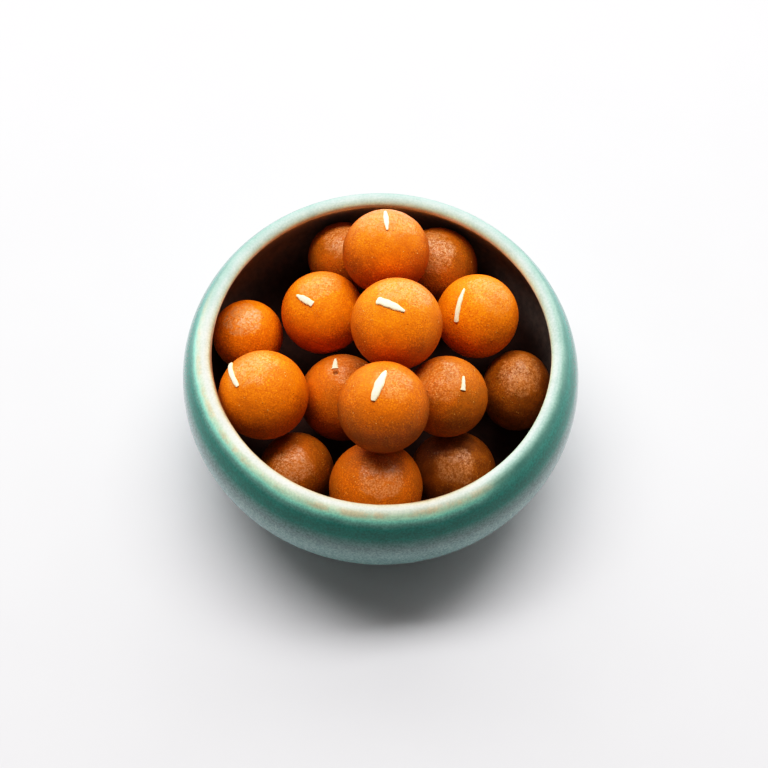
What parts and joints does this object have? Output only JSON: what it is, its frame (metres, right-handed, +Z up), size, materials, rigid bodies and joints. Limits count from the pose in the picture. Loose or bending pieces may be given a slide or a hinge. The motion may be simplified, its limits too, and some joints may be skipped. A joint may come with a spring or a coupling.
{
  "type": "bowl of gulab jamun",
  "caption": "Round glazed bowl with an inward-leaning lip, heaped with syrup-soaked fried milk dumplings, some topped with an almond sliver.",
  "frame": {"origin": "middle of the underside of the bowl's foot ring", "axes": "+Z up, the front of the heap towards -Y, +X to the right seen from the front"},
  "size_m": [0.1642, 0.1642, 0.0957],
  "materials": {
    "glaze": "gloss",
    "syrupy_skin": "satin",
    "almond": "matte"
  },
  "bodies": {
    "root": {"bowl": "glaze", "jamun_front_left": "syrupy_skin", "jamun_front_right": "syrupy_skin", "jamun_right": "syrupy_skin", "jamun_left": "syrupy_skin", "jamun_back_left": "syrupy_skin", "jamun_back_right": "syrupy_skin", "jamun_middle_left": "syrupy_skin", "jamun_front": "syrupy_skin", "jamun_upper_left": "syrupy_skin", "jamun_upper_right": "syrupy_skin", "jamun_middle_right": "syrupy_skin", "jamun_upper_back_left": "syrupy_skin", "jamun_top_front": "syrupy_skin", "jamun_top": "syrupy_skin", "jamun_upper_back": "syrupy_skin"}
  },
  "joints": []
}
